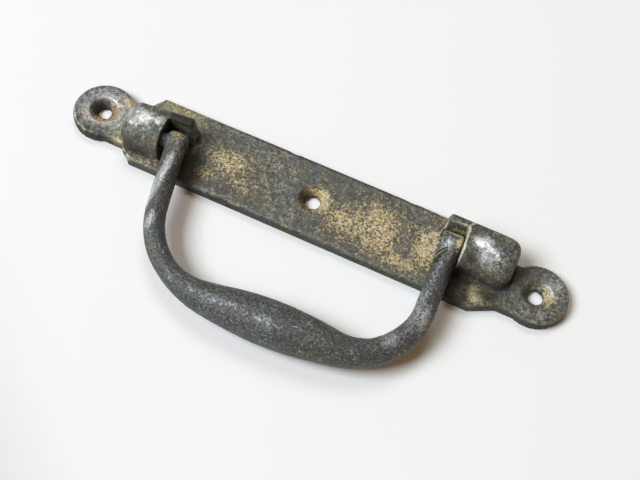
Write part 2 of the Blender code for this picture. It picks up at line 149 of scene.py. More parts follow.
# The rims are rubbed pale inside these places, and the third paints a glint along the right stop
# wall's front top edge.
PLATE_WORN = (
    ((0.0482, 0.0200, 0.0120), (0.0010, 0.0090, 0.0060), 1.05),
    ((0.0404, 0.0275, 0.0090), (0.0009, 0.0040, 0.0070), 1.05),
    ((0.0452, 0.0266, 0.0141), (0.0026, 0.0008, 0.0008), 0.95),
    ((-0.0505, 0.0150, 0.0120), (0.0010, 0.0060, 0.0040), 0.65),
    ((-0.0400, 0.0235, 0.0090), (0.0012, 0.0040, 0.0060), 0.70),
    ((0.0030, 0.0200, 0.0040), (0.0045, 0.0040, 0.0020), 0.66),
    ((0.0760, 0.0190, 0.0040), (0.0045, 0.0040, 0.0020), 0.62),
    ((-0.0720, 0.0165, 0.0040), (0.0030, 0.0030, 0.0020), 0.60),
    ((-0.0770, 0.0150, 0.0040), (0.0080, 0.0080, 0.0010), 0.55),
    ((0.0400, 0.0322, 0.0038), (0.0060, 0.0012, 0.0015), 0.90),
    ((-0.0450, 0.0322, 0.0038), (0.0200, 0.0012, 0.0015), 0.70),
    ((-0.0600, 0.0080, 0.0030), (0.0030, 0.0030, 0.0020), 0.90),
)
# Painted shade on the upright sides, and the height it ends at.
SIDE_SOOT = 0.55
SIDE_TOP = 0.0034
# Each crown is its middle, the half sizes it is worn over, how far it falls at those, and
# where along X the boss begins. The stop wall's top, before that, stays flat.
CROWN_EASE = 0.0030
CROWN_FLAT = 0.15
CROWN_LIMIT = 1.2
EAR_CROWNS = (
    ((-0.0565, 0.0160, 0.0143), (0.0085, 0.0062), 0.0011, -0.0492),
    ((0.0545, 0.0208, 0.0143), (0.0088, 0.0066), 0.0012, 0.0475),
)
# Each dent is its middle, its radius and its depth.
PLATE_DENTS = (
    ((0.0120, 0.0068, 0.0030), 0.0030, 0.00020),
    ((-0.0250, 0.0068, 0.0030), 0.0026, 0.00022),
    ((0.0280, 0.0323, 0.0030), 0.0030, 0.00018),
    ((-0.0120, 0.0322, 0.0035), 0.0022, 0.00022),
    ((0.0610, 0.0095, 0.0020), 0.0016, 0.00035),
    ((0.0530, 0.0175, 0.0142), 0.0030, 0.00015),
    ((-0.0500, 0.0140, 0.0135), 0.0024, 0.00018),
)
# How many times the skin is blurred to find its rims, and to find its nooks.
RIM_ROUNDS = 4
NOOK_ROUNDS = 90
# The skin's masks, each also the name of the attribute that holds it, in small letters.
SKIN_MASKS = ("Bare", "Green", "Rusted", "Polish", "Soot", "Worn", "Rim", "Nook")
# The widths of the stains and scratches in the tarnish, and of its specks beside its grain.
CLOUD_SIZE = 0.011
DRIFT_SIZE = 0.0045
BROWN_SIZE = 0.0030
HANDLED_SIZE = 0.006
SCRATCH_WIDTH = 0.00055
FINE_SHARE = 0.40
SPECK_SHARE = 0.66
BUMP_STRENGTH = 0.7
BUMP_DISTANCE = 0.0004


def placed(name, data):
    """A new object in the scene that holds the mesh, lamp or camera."""
    made = bpy.data.objects.new(name, data)
    bpy.context.scene.collection.objects.link(made)
    return made


def merged_copy(source, name):
    """A closed copy of a CAD node's mesh, whose loose triangles are joined at their corners."""
    work = bmesh.new()
    work.from_mesh(source.data)
    bmesh.ops.remove_doubles(work, verts=work.verts, dist=1e-6)
    mesh = bpy.data.meshes.new(name)
    work.to_mesh(mesh)
    work.free()
    return placed(name, mesh)


def make_plain(thing):
    """Turns what the object's modifiers give into its own mesh, and removes them."""
    bpy.context.view_layer.update()
    seen = thing.evaluated_get(bpy.context.evaluated_depsgraph_get())
    mesh = bpy.data.meshes.new_from_object(seen)
    thing.modifiers.clear()
    thing.data = mesh


def even_skin(thing, cell, softening):
    """Rebuilds the skin in even cells, and eases every edge as sand casting and wear do."""
    remesh = thing.modifiers.new("even cells", "REMESH")
    remesh.mode = "VOXEL"
    remesh.voxel_size = cell
    ease = thing.modifiers.new("eased edges", "SMOOTH")
    ease.factor = EDGE_EASE
    ease.iterations = softening
    make_plain(thing)


def corners_of(thing):
    """The corners and the normals of the mesh, as two arrays."""
    count = len(thing.data.vertices)
    corners, normals = np.zeros(count * 3), np.zeros(count * 3)
    thing.data.vertices.foreach_get("co", corners)
    thing.data.vertices.foreach_get("normal", normals)
    return corners.reshape(-1, 3), normals.reshape(-1, 3)


def put_corners(thing, corners):
    """Moves the mesh's corners to those places."""
    thing.data.vertices.foreach_set("co", corners.ravel())
    thing.data.update()


def dent(thing, dents):
    """Presses a round hollow in at each (middle, radius, depth)."""
    corners, normals = corners_of(thing)
    for middle, radius, depth in dents:
        near = np.linalg.norm(corners - middle, axis=1) / radius
        press = depth * np.clip(1 - near ** 2, 0, 1) ** 2
        corners -= normals * press[:, None]
    put_corners(thing, corners)


def wear_crown(thing, crowns):
    """Wears each flat crown to a low dome, as hands and sacking have rubbed the real one."""
    corners, _ = corners_of(thing)
    for middle, halves, fall, face in crowns:
        away = np.linalg.norm((corners[:, :2] - middle[:2]) / np.array(halves), axis=1)
        inside = (corners[:, 0] - face) * math.copysign(1, middle[0] - face) / CROWN_EASE
        eased = fall * np.clip(inside, 0, 1)
        dome = middle[2] - eased * np.clip(away - CROWN_FLAT, 0, CROWN_LIMIT) ** 2
        corners[:, 2] = np.minimum(corners[:, 2], dome)
    put_corners(thing, corners)


def paint(thing, name, patches):
    """Stores how strongly the patches cover each corner, 0 where none does, as an attribute."""
    corners, _ = corners_of(thing)
    cover = np.zeros(len(corners))
    for middle, halves, strength in patches:
        near = np.linalg.norm((corners - middle) / np.array(halves), axis=1)
        cover = np.maximum(cover, strength * np.clip(PATCH_CORE - near * PATCH_FALL, 0, 1))
    held = thing.data.attributes.new(name, "FLOAT", "POINT")
    held.data.foreach_set("value", cover.astype(np.float32))


def paint_all(thing, **patches_of):
    """Paints each named mask from its patches."""
    for name, patches in patches_of.items():
        paint(thing, name, patches)


def blacken(thing, share):
    """Raises the soot and painted shade at each corner to its share."""
    held = thing.data.attributes["soot"]
    cover = np.zeros(len(share), np.float32)
    held.data.foreach_get("value", cover)
    held.data.foreach_set("value", np.maximum(cover, share).astype(np.float32))


def soot_sides(thing, top, strength):
    """Paints shade onto the upright sides below the top height."""
    corners, normals = corners_of(thing)
    blacken(thing, strength * (1 - np.abs(normals[:, 2])) * (corners[:, 2] < top))


def score_rings(thing, rings, soot):
    """Scores a sooty ring into the upper face for each (middle, radius, half width, depth)."""
    corners, normals = corners_of(thing)
    for middle, radius, half_width, depth in rings:
        away = np.linalg.norm(corners[:, :2] - middle, axis=1)
        near = (away - radius) / half_width
        groove = np.clip(normals[:, 2], 0, 1) * np.clip(1 - near ** 2, 0, 1)
        corners[:, 2] -= depth * groove
        blacken(thing, soot * groove)
    put_corners(thing, corners)


def hold_lay(thing, along, aside, above):
    """Stores the place along, aside and above the line that filing and hands have followed."""
    held = thing.data.attributes.new("lay", "FLOAT_VECTOR", "POINT")
    places = np.stack([along * LAY_DRAW, aside, above], 1).astype(np.float32)
    held.data.foreach_set("vector", places.ravel())


def add(tree, kind, feeds=None, **settings):
    """A node of that kind, with its settings, and its inputs set or linked by name or number."""
    made = tree.nodes.new(kind)
    for name, value in settings.items():
        setattr(made, name, value)
    for socket, value in (feeds or {}).items():
        if isinstance(value, bpy.types.NodeSocket):
            tree.links.new(value, made.inputs[socket])
        else:
            made.inputs[socket].default_value = value
    return made


def sum_of(tree, operation, first, second=0.0, third=0.0):
    """What the operation gives for one, two or three numbers."""
    feeds = {0: first, 1: second, 2: third}
    return add(tree, "ShaderNodeMath", feeds, operation=operation).outputs[0]


def vector_of(tree, operation, first, second):
    """What the operation gives for two vectors."""
    feeds = {0: first, 1: second}
    return add(tree, "ShaderNodeVectorMath", feeds, operation=operation).outputs[0]


def noise(tree, place, size, detail, seed, roughness=0.5):
    """Smooth noise with features about as wide as size, 0 to 1."""
    scale = sum_of(tree, "DIVIDE", 1.0, size)
    feeds = {"Vector": place, "Scale": scale, "Detail": detail, "Roughness": roughness, "W": seed}
    return add(tree, "ShaderNodeTexNoise", feeds, noise_dimensions="4D").outputs[0]


def ramp(tree, value, low, high, out_low=0.0, out_high=1.0):
    """The value eased from out_low at low to out_high at high."""
    feeds = {"Value": value, "From Min": low, "From Max": high,
             "To Min": out_low, "To Max": out_high}
    return add(tree, "ShaderNodeMapRange", feeds, interpolation_type="SMOOTHSTEP").outputs[0]


def mix(tree, share, first, second):
    """The first colour, turning to the second as the share goes from 0 to 1."""
    feeds = {"Factor": share, 6: first, 7: second}
    return add(tree, "ShaderNodeMix", feeds, data_type="RGBA").outputs[2]


def new_tree(name, kind, inputs, outputs):
    """An empty node group with named sockets. Inputs are (name, type, default)."""
    tree = bpy.data.node_groups.new(name, kind)
    for socket_name, socket_type, value in inputs:
        socket = tree.interface.new_socket(socket_name, in_out="INPUT", socket_type=socket_type)
        if value is not None:
            socket.default_value = value
    for socket_name, socket_type in outputs:
        tree.interface.new_socket(socket_name, in_out="OUTPUT", socket_type=socket_type)
    return tree


def kept_inside(tree, place, given):
    """The place, or the nearest one to it between the corners Lowest and Highest."""
    place = vector_of(tree, "MAXIMUM", place, given["Lowest"])
    return vector_of(tree, "MINIMUM", place, given["Highest"])


def end_tree(tree, shape, given):
    """Ends a geometry tree: the shape is made smooth and real, and gets its material."""
    smooth = add(tree, "GeometryNodeSetShadeSmooth", {"Geometry": shape})
    real = add(tree, "GeometryNodeRealizeInstances", {"Geometry": smooth.outputs[0]})
    feeds = {"Geometry": real.outputs[0], "Material": given["Material"]}
    dressed = add(tree, "GeometryNodeSetMaterial", feeds)
    add(tree, "NodeGroupOutput", {"Geometry": dressed.outputs[0]})


def cast_surface_tree():
    """Geometry nodes that roughen a smooth skin inwards and mark its rims and its nooks."""
    number, vector = "NodeSocketFloat", "NodeSocketVector"
    tree = new_tree("cast surface", "GeometryNodeTree", (
        ("Geometry", "NodeSocketGeometry", None),
        ("Lump Size", number, 0.008), ("Lump Depth", number, 0.00012),
        ("Grain Size", number, 0.0016), ("Grain Depth", number, 0.00006),
        ("Pit Size", number, 0.0011), ("Pit Depth", number, 0.00008),
        ("Lift", number, 0.00010), ("Lowest", vector, None), ("Highest", vector, None),
        ("Rim Reach", number, 0.00006), ("Nook Reach", number, 0.0004),
        ("Seed", number, 1.0), ("Material", "NodeSocketMaterial", None),
    ), (("Geometry", "NodeSocketGeometry"),))
    given = tree.nodes.new("NodeGroupInput").outputs
    place = tree.nodes.new("GeometryNodeInputPosition").outputs[0]
    normal = tree.nodes.new("GeometryNodeInputNormal").outputs[0]
    lump = noise(tree, place, given["Lump Size"], detail=2.0, seed=given["Seed"])
    grain = noise(tree, place, given["Grain Size"], detail=2.0, seed=given["Seed"])
    pit = noise(tree, place, given["Pit Size"], detail=1.0, seed=given["Seed"])
    depth = sum_of(tree, "MULTIPLY", lump, given["Lump Depth"])
    depth = sum_of(tree, "MULTIPLY_ADD", grain, given["Grain Depth"], depth)
    depth = sum_of(tree, "MULTIPLY_ADD", ramp(tree, pit, 0.58, 0.72), given["Pit Depth"], depth)
    rise = sum_of(tree, "SUBTRACT", given["Lift"], depth)
    feeds = {0: normal, "Scale": rise}
    moved = add(tree, "ShaderNodeVectorMath", feeds, operation="SCALE").outputs[0]
    moved = kept_inside(tree, vector_of(tree, "ADD", place, moved), given)
    feeds = {"Geometry": given["Geometry"], "Position": moved}
    skin = add(tree, "GeometryNodeSetPosition", feeds).outputs[0]
    for name, rounds, reach, sign in (("rim", RIM_ROUNDS, "Rim Reach", 1.0),
                                      ("nook", NOOK_ROUNDS, "Nook Reach", -1.0)):
        feeds = {"Iterations": rounds}
        blur = add(tree, "GeometryNodeBlurAttribute", feeds, data_type="FLOAT_VECTOR")
        tree.links.new(place, next(s for s in blur.inputs if s.enabled and s.type == "VECTOR"))
        eased = next(s for s in blur.outputs if s.enabled)
        feeds = {0: vector_of(tree, "SUBTRACT", place, eased), 1: normal}
        height = add(tree, "ShaderNodeVectorMath", feeds, operation="DOT_PRODUCT")
        share = sum_of(tree, "DIVIDE", height.outputs["Value"], given[reach])
        share = sum_of(tree, "MULTIPLY", share, sign)
        feeds = {"Geometry": skin, "Name": name}
        store = add(tree, "GeometryNodeStoreNamedAttribute", feeds, data_type="FLOAT",
                    domain="POINT")
        tree.links.new(share, next(s for s in store.inputs if s.enabled and s.name == "Value"))
        skin = store.outputs[0]
    end_tree(tree, skin, given)
    return tree


def run_tree(thing, tree, **values):
    """Runs the tree on the object with the named values, and keeps the result as its mesh."""
    modifier = thing.modifiers.new(tree.name, "NODES")
    modifier.node_group = tree
    known = {s.name: s.identifier for s in tree.interface.items_tree if s.in_out == "INPUT"}
    for name, value in values.items():
        modifier[known[name.replace("_", " ")]] = value
    make_plain(thing)


def cast(thing, node, seed, metal, **depths):
    """Gives the even skin its cast surface, inside the box of the CAD node that it stands for."""
    low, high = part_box(node)
    run_tree(thing, cast_surface, Seed=seed, Material=metal, Lowest=low[:], Highest=high[:],
             **depths)


def old_brass_tree():
    """The look of old brass: mottled tarnish, bare metal, green crust, rust and rubbed rims, with
    painted shade, sheen and light.
    """
    number, colour = "NodeSocketFloat", "NodeSocketColor"
    tree = new_tree("old brass", "ShaderNodeTree", (
        ("Place", "NodeSocketVector", None), ("Lay", "NodeSocketVector", None),
        ("Dark Tarnish", colour, (0.050, 0.050, 0.038, 1)),
        ("Pale Tarnish", colour, (0.205, 0.20, 0.155, 1)),
        ("Blue Tarnish", colour, (0.135, 0.16, 0.175, 1)),
        ("Brown Tarnish", colour, (0.155, 0.125, 0.105, 1)),
        ("Dust", colour, (0.42, 0.41, 0.34, 1)), ("Dirt", colour, (0.020, 0.017, 0.012, 1)),
        ("Bare Brass", colour, (0.70, 0.51, 0.21, 1)), ("Cream", colour, (0.72, 0.66, 0.47, 1)),
        ("Green Crust", colour, (0.38, 0.40, 0.24, 1)), ("Rust", colour, (0.48, 0.25, 0.06, 1)),
        ("Rim Colour", colour, (0.30, 0.31, 0.20, 1)),
        ("Worn Edge", colour, (0.62, 0.60, 0.48, 1)),
        ("Rubbed Metal", colour, (0.80, 0.83, 0.85, 1)),
        *((mask, number, 0.0) for mask in SKIN_MASKS),
        ("Grain Size", number, 0.0011), ("Speckle", number, 0.5), ("Scratches", number, 0.5),
    ), (("Color", colour), ("Roughness", number), ("Metallic", number), ("Height", number)))
    given = tree.nodes.new("NodeGroupInput").outputs
    place = given["Place"]

    def times(value, factor):
        return sum_of(tree, "MULTIPLY", value, factor)

    def times_plus(value, factor, rest):
        return sum_of(tree, "MULTIPLY_ADD", value, factor, rest)

    def coat(tone, cover, name, strength):
        """Lays the named colour over the tone, at that strength where the cover is full."""
        return mix(tree, times(cover, strength), tone, given[name])

    def broken(cover, seed, reach):
        """Specks that stand thicker the stronger the cover, and are gone where there is none."""
        size = times(given["Grain Size"], SPECK_SHARE)
        speck = noise(tree, place, size, detail=4.0, seed=seed, roughness=0.72)
        level = times_plus(cover, reach, sum_of(tree, "SUBTRACT", speck, reach))
        return ramp(tree, level, 0.40, 0.49)

    cloud = noise(tree, place, CLOUD_SIZE, detail=3.0, seed=2.0, roughness=0.6)
    drift = noise(tree, place, DRIFT_SIZE, detail=3.0, seed=5.0, roughness=0.6)
    brown = noise(tree, place, BROWN_SIZE, detail=3.0, seed=37.0, roughness=0.6)
    grain = noise(tree, place, given["Grain Size"], detail=3.0, seed=7.0, roughness=0.65)
    fine_size = times(given["Grain Size"], FINE_SHARE)
    fine = noise(tree, place, fine_size, detail=2.0, seed=9.0, roughness=0.6)
    mixed = times_plus(fine, 0.45, times(grain, 0.55))

    # Tarnish, from pale to blue, brown and dark, with dust on its high grains.
    tone = mix(tree, ramp(tree, drift, 0.40, 0.66), given["Pale Tarnish"], given["Blue Tarnish"])
    tone = mix(tree, ramp(tree, brown, 0.54, 0.68), tone, given["Brown Tarnish"])
    tone = mix(tree, ramp(tree, mixed, 0.64, 0.36), tone, given["Dark Tarnish"])
    dust = ramp(tree, times_plus(cloud, 0.35, mixed), 0.70, 0.84)
    tone = coat(tone, dust, "Dust", given["Speckle"])

    # Fine scratches along the lay, more of them where hands have been.
    scored = noise(tree, given["Lay"], SCRATCH_WIDTH, detail=2.0, seed=13.0, roughness=0.6)
    handled = noise(tree, place, HANDLED_SIZE, detail=2.0, seed=17.0)
    scored = ramp(tree, times_plus(handled, 0.5, scored), 0.86, 0.98)
    tone = coat(tone, scored, "Dust", given["Scratches"])

    # Green crust, then bare brass over a dark ground with cream on it (on a few shaded faces this
    # paints light), then rust.
    green = broken(given["Green"], seed=21.0, reach=0.30)
    tone = coat(tone, green, "Green Crust", strength=0.72)
    ground = ramp(tree, given["Bare"], 0.1, 0.9, out_high=0.58)
    tone = mix(tree, ground, tone, given["Dark Tarnish"])
    bare = broken(given["Bare"], seed=23.0, reach=0.26)
    tone = coat(tone, bare, "Bare Brass", strength=0.80)
    cream = broken(times(given["Bare"], 0.98), seed=29.0, reach=0.34)
    tone = coat(tone, cream, "Cream", strength=0.74)
    rust = broken(given["Rusted"], seed=31.0, reach=0.30)
    tone = coat(tone, rust, "Rust", strength=0.85)

    # Metal polished by hands, which also paints sheen where highlights lie, and rims that stand a
    # little paler all round.
    rubbed = ramp(tree, times_plus(mixed, 1.6, given["Polish"]), 1.14, 1.92)
    tone = coat(tone, rubbed, "Rubbed Metal", strength=0.80)
    rim = ramp(tree, times_plus(mixed, 1.6, given["Rim"]), 1.5, 2.3)
    tone = coat(tone, rim, "Rim Colour", strength=0.25)

    # Darker in the nooks, soot and painted shade where their mask is high, and pale rims where the
    # casting is most worn, some of them painted glints.
    clear = times_plus(given["Bare"], -0.7, sum_of(tree, "MINIMUM", given["Nook"], 1.4))
    nook = ramp(tree, times_plus(cloud, 0.5, clear), 0.60, 1.60)
    soot = ramp(tree, times_plus(cloud, 0.8, given["Soot"]), 0.45, 1.15)
    dirty = sum_of(tree, "MAXIMUM", nook, soot)
    tone = coat(tone, dirty, "Dirt", strength=0.85)
    edge = times(given["Worn"], ramp(tree, given["Rim"], 0.55, 1.10))
    edge = ramp(tree, times_plus(mixed, 1.2, edge), 0.85, 1.35)
    tone = coat(tone, edge, "Worn Edge", strength=0.85)

    # Polish and painted sheen lower the roughness and the grain's height, and dirt and painted
    # shade raise the roughness.
    rough = ramp(tree, mixed, 0.35, 0.65, out_low=0.44, out_high=0.62)
    rough = times_plus(rubbed, -0.29, rough)
    rough = times_plus(dirty, 0.25, rough)
    metal = times_plus(rubbed, 0.50, times_plus(bare, 0.20, 0.25))
    smoothed = times_plus(rubbed, -0.6, 1.0)
    height = times_plus(sum_of(tree, "SUBTRACT", mixed, 0.55), smoothed, 0.55)
    add(tree, "NodeGroupOutput",
        {"Color": tone, "Roughness": rough, "Metallic": metal, "Height": height})
    return tree


def first_node(tree, kind):
    """The tree's first node of that kind."""
    return next(node for node in tree.nodes if node.type == kind)


def new_material(name):
    """A new material, and its node tree."""
    material = bpy.data.materials.new(name)
    material.use_nodes = True
    return material, material.node_tree


def brass_material(name, look, **values):
    """A material of old brass, with the look's masks read from the piece's own attributes."""
    material, tree = new_material(name)
    where = add(tree, "ShaderNodeTexCoord").outputs["Object"]
    lay = add(tree, "ShaderNodeAttribute", attribute_name="lay").outputs["Vector"]
    skin = add(tree, "ShaderNodeGroup", {"Place": where, "Lay": lay}, node_tree=look)
    for mask in SKIN_MASKS:
        held = add(tree, "ShaderNodeAttribute", attribute_name=mask.lower())
        tree.links.new(held.outputs["Fac"], skin.inputs[mask])
    for socket, value in values.items():
        skin.inputs[socket.replace("_", " ")].default_value = value
    feeds = {"Height": skin.outputs["Height"], "Strength": BUMP_STRENGTH, "Distance": BUMP_DISTANCE}
    bump = add(tree, "ShaderNodeBump", feeds)
    shader = first_node(tree, "BSDF_PRINCIPLED")
    tree.links.new(skin.outputs["Color"], shader.inputs["Base Color"])
    tree.links.new(skin.outputs["Roughness"], shader.inputs["Roughness"])
    tree.links.new(skin.outputs["Metallic"], shader.inputs["Metallic"])
    tree.links.new(bump.outputs[0], shader.inputs["Normal"])
    return material


cast_surface = cast_surface_tree()
old_brass = old_brass_tree()
plate_metal = brass_material("tarnished plate brass", old_brass, Speckle=0.75, Scratches=0.30)
cast_plate = merged_copy(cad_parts["base_plate"], "cast_plate")
even_skin(cast_plate, PLATE_CELL, PLATE_SOFTENING)
wear_crown(cast_plate, EAR_CROWNS)
dent(cast_plate, PLATE_DENTS)
plate_corners, _ = corners_of(cast_plate)
hold_lay(cast_plate, *plate_corners.T)
paint_all(cast_plate, bare=PLATE_BARE, green=PLATE_GREEN, rusted=PLATE_RUST, polish=PLATE_POLISH,
          soot=PLATE_SOOT, worn=PLATE_WORN)
soot_sides(cast_plate, SIDE_TOP, SIDE_SOOT)
score_rings(cast_plate, LUG_RINGS, RING_SOOT)
cast(cast_plate, "base_plate", PLATE_SEED, plate_metal)
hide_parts("base_plate")
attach(cast_plate, "plate")


# Crust: grains of dried polish, verdigris and rust that have set in the corners round the
# ears' feet, in the screw holes and behind the left ear. Each grain stands on the casting.

# The grains' radius, and how many stand on a square metre where they are thickest.
CRUST_GRAIN = 0.00022
CRUST_MOST = 9.0e6
# The grains stand in clots of this width. Each is scaled between these, and turned up to this.
CRUST_CLOT = 0.0024
GRAIN_LEAST = (0.35, 0.35, 0.25)
GRAIN_FULL = (1.0, 1.0, 0.8)
GRAIN_TURN = (0.6, 0.6, math.tau)
CRUST_SEED = 5
CRUST_PLACES = (
    ((-0.0640, 0.0185, 0.0030), (0.0022, 0.0090, 0.0030), 0.80),
    ((-0.0560, 0.0090, 0.0040), (0.0080, 0.0020, 0.0020), 0.80),
    ((-0.0530, 0.0285, 0.0045), (0.0120, 0.0040, 0.0020), 0.55),
    ((-0.0400, 0.0240, 0.0045), (0.0020, 0.0050, 0.0020), 0.50),
    ((0.0555, 0.0120, 0.0042), (0.0090, 0.0020, 0.0020), 0.70),
    ((0.0630, 0.0200, 0.0040), (0.0030, 0.0080, 0.0030), 0.55),
    ((0.0405, 0.0290, 0.0045), (0.0020, 0.0030, 0.0020), 0.60),
    ((0.0150, 0.0075, 0.0038), (0.0300, 0.0012, 0.0010), 0.15),
    ((-0.0735, 0.0195, 0.0015), (0.0034, 0.0034, 0.0020), 1.00),
    ((0.0000, 0.0195, 0.0015), (0.0034, 0.0034, 0.0020), 0.45),
    ((0.0735, 0.0195, 0.0015), (0.0034, 0.0034, 0.0020), 0.45),
)

# The left screw hole is half choked by coarser rust on its near side.
HOLE_GRAIN = 0.00060
HOLE_MOST = 3.5e7
HOLE_RUST = (
    ((-0.0720, 0.0178, 0.0014), (0.0026, 0.0022, 0.0012), 1.00),
)


def crust_tree():
    """Geometry nodes that stand small grains on a surface, thick where its crust mask is high."""
    number, vector = "NodeSocketFloat", "NodeSocketVector"
    tree = new_tree("crust grains", "GeometryNodeTree", (
        ("Geometry", "NodeSocketGeometry", None), ("Grain Size", number, 0.0002),
        ("Most Grains", number, 4.0e6), ("Lowest", vector, None), ("Highest", vector, None),
        ("Seed", "NodeSocketInt", 1), ("Material", "NodeSocketMaterial", None),
    ), (("Geometry", "NodeSocketGeometry"),))
    given = tree.nodes.new("NodeGroupInput").outputs
    mask = add(tree, "GeometryNodeInputNamedAttribute", {"Name": "crust"}, data_type="FLOAT")
    place = tree.nodes.new("GeometryNodeInputPosition").outputs[0]
    clots = ramp(tree, noise(tree, place, CRUST_CLOT, detail=2.0, seed=4.0), 0.42, 0.62)
    density = sum_of(tree, "MULTIPLY", mask.outputs[0], clots)
    density = sum_of(tree, "MULTIPLY", density, given["Most Grains"])
    feeds = {"Mesh": given["Geometry"], "Density": density, "Seed": given["Seed"]}
    points = add(tree, "GeometryNodeDistributePointsOnFaces", feeds)
    feeds = {"Radius": given["Grain Size"], "Subdivisions": 1}
    grain = add(tree, "GeometryNodeMeshIcoSphere", feeds)
    feeds = {0: GRAIN_LEAST, 1: GRAIN_FULL, "Seed": given["Seed"]}
    size = add(tree, "FunctionNodeRandomValue", feeds, data_type="FLOAT_VECTOR")
    feeds = {1: GRAIN_TURN, "Seed": given["Seed"]}
    turn = add(tree, "FunctionNodeRandomValue", feeds, data_type="FLOAT_VECTOR")
    stood = add(tree, "GeometryNodeInstanceOnPoints", {
        "Points": points.outputs["Points"], "Instance": grain.outputs["Mesh"],
        "Rotation": turn.outputs[0], "Scale": size.outputs[0]})
    real = add(tree, "GeometryNodeRealizeInstances", {"Geometry": stood.outputs[0]})
    feeds = {"Geometry": real.outputs[0], "Position": kept_inside(tree, place, given)}
    inside = add(tree, "GeometryNodeSetPosition", feeds)
    end_tree(tree, inside.outputs[0], given)
    return tree


crust_look = brass_material(
    "dried crust", old_brass, Speckle=0.60, Scratches=0.0, Pale_Tarnish=(0.26, 0.26, 0.18, 1),
    Blue_Tarnish=(0.20, 0.22, 0.16, 1), Dark_Tarnish=(0.08, 0.075, 0.05, 1))
crust_grains = crust_tree()
crust_low, crust_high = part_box("base_plate")
for name, places, size, most in (("plate_crust", CRUST_PLACES, CRUST_GRAIN, CRUST_MOST),
                                 ("screw_hole_rust", HOLE_RUST, HOLE_GRAIN, HOLE_MOST)):
    crust = placed(name, cast_plate.data.copy())
    paint(crust, "crust", places)
    run_tree(crust, crust_grains, Grain_Size=size, Most_Grains=most, Seed=CRUST_SEED,
             Lowest=crust_low[:], Highest=crust_high[:], Material=crust_look)
    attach(crust, "plate")


# The bail: one brass casting, bent to a D, with a grip that swells in the middle and a round
# eye and pivot at each end. Hands have kept it smoother and darker than the plate, and fine
# pale scratches run along it. Old cuts cross its right leg below the eye. Painted shade darkens
# its legs' right sides, and painted sheen and highlights lie along it.

BAIL_CELL = 0.00030
BAIL_SOFTENING = 3
BAIL_SEED = 11.0
# The line that the bail's middle follows, seen from above, from the left eye to the right.
BAIL_LINE = (
    (-0.0446, 0.0178), (-0.0438, 0.0100), (-0.0423, 0.0050), (-0.0399, -0.0050),
    (-0.0375, -0.0120), (-0.0330, -0.0180), (-0.0250, -0.0239), (-0.0100, -0.0262),
    (0.0100, -0.0251), (0.0250, -0.0240), (0.0360, -0.0205), (0.0425, -0.0140),
    (0.0450, -0.0050), (0.0449, 0.0050), (0.0445, 0.0178),
)
BAIL_BARE = (
    ((0.0185, -0.0280, 0.0090), (0.0060, 0.0040, 0.0040), 0.56),
    ((0.0400, -0.0150, 0.0060), (0.0080, 0.0080, 0.0060), 0.56),
    ((-0.0450, 0.0170, 0.0125), (0.0030, 0.0030, 0.0030), 0.78),
    ((0.0468, 0.0203, 0.0125), (0.0015, 0.0020, 0.0020), 1.05),
    # This one paints a highlight along the right eye's rear top edge.
    ((0.0452, 0.0229, 0.0119), (0.0040, 0.0011, 0.0012), 1.50),
)
BAIL_GREEN = (
    ((-0.0430, -0.0050, 0.0060), (0.0040, 0.0100, 0.0060), 0.25),
    ((0.0020, -0.0220, 0.0060), (0.0040, 0.0040, 0.0060), 0.30),
)
BAIL_RUST = (
    ((0.0180, -0.0300, 0.0060), (0.0020, 0.0020, 0.0030), 0.35),
)
# Polish that also paints the highlights along the legs, the bend and the grip.
BAIL_POLISH = (
    ((-0.0429, 0.0000, 0.0110), (0.0018, 0.0140, 0.0040), 0.92),
    ((-0.0390, -0.0130, 0.0110), (0.0020, 0.0050, 0.0030), 0.75),
    ((0.0436, 0.0075, 0.0115), (0.0014, 0.0070, 0.0030), 0.50),
    ((0.0460, -0.0065, 0.0105), (0.0018, 0.0060, 0.0034), 0.80),
    ((-0.0090, -0.0272, 0.0130), (0.0140, 0.0020, 0.0040), 0.50),
    ((0.0438, 0.0185, 0.0130), (0.0024, 0.0040, 0.0020), 0.70),
    ((0.0060, -0.0275, 0.0135), (0.0050, 0.0020, 0.0040), 0.60),
    ((0.0430, -0.0040, 0.0110), (0.0028, 0.0120, 0.0040), 0.60),
    ((0.0400, -0.0160, 0.0110), (0.0045, 0.0045, 0.0040), 0.60),
)
# Pale rims round the eyes; the first also paints a highlight along the right eye's rear top edge.
BAIL_WORN = (
    ((0.0450, 0.0215, 0.0125), (0.0035, 0.0020, 0.0020), 0.90),
    ((-0.0450, 0.0200, 0.0125), (0.0035, 0.0020, 0.0020), 0.50),
)
# Painted shade on the legs' right sides, away from the window.
BAIL_SOOT = (
    ((0.0478, 0.0130, 0.0080), (0.0020, 0.0060, 0.0060), 0.80),
    ((-0.0400, 0.0060, 0.0070), (0.0016, 0.0080, 0.0050), 0.70),
)
BAIL_DENTS = (
    ((-0.0100, -0.0190, 0.0100), 0.0040, 0.00020),
    ((0.0060, -0.0310, 0.0080), 0.0040, 0.00020),
    ((-0.0400, -0.0060, 0.0080), 0.0030, 0.00015),
    ((0.0350, -0.0180, 0.0080), 0.0035, 0.00018),
)
# Each cut is its two ends seen from above, its half width and its depth. It keeps its full
# depth where the skin's upward share is at least one part in CUT_FACING.
CUT_SOOT = 2.0
CUT_FACING = 4
BAIL_CUTS = (
    ((0.0400, 0.0121), (0.0421, 0.0126), 0.00095, 0.00085),
    ((0.0419, 0.0125), (0.0424, 0.0143), 0.00060, 0.00055),
    ((0.0424, 0.0143), (0.0440, 0.0164), 0.00038, 0.00035),
    ((0.0412, 0.0150), (0.0437, 0.0174), 0.00036, 0.00030),
    ((0.0412, 0.0132), (0.0431, 0.0140), 0.00034, 0.00025),
)


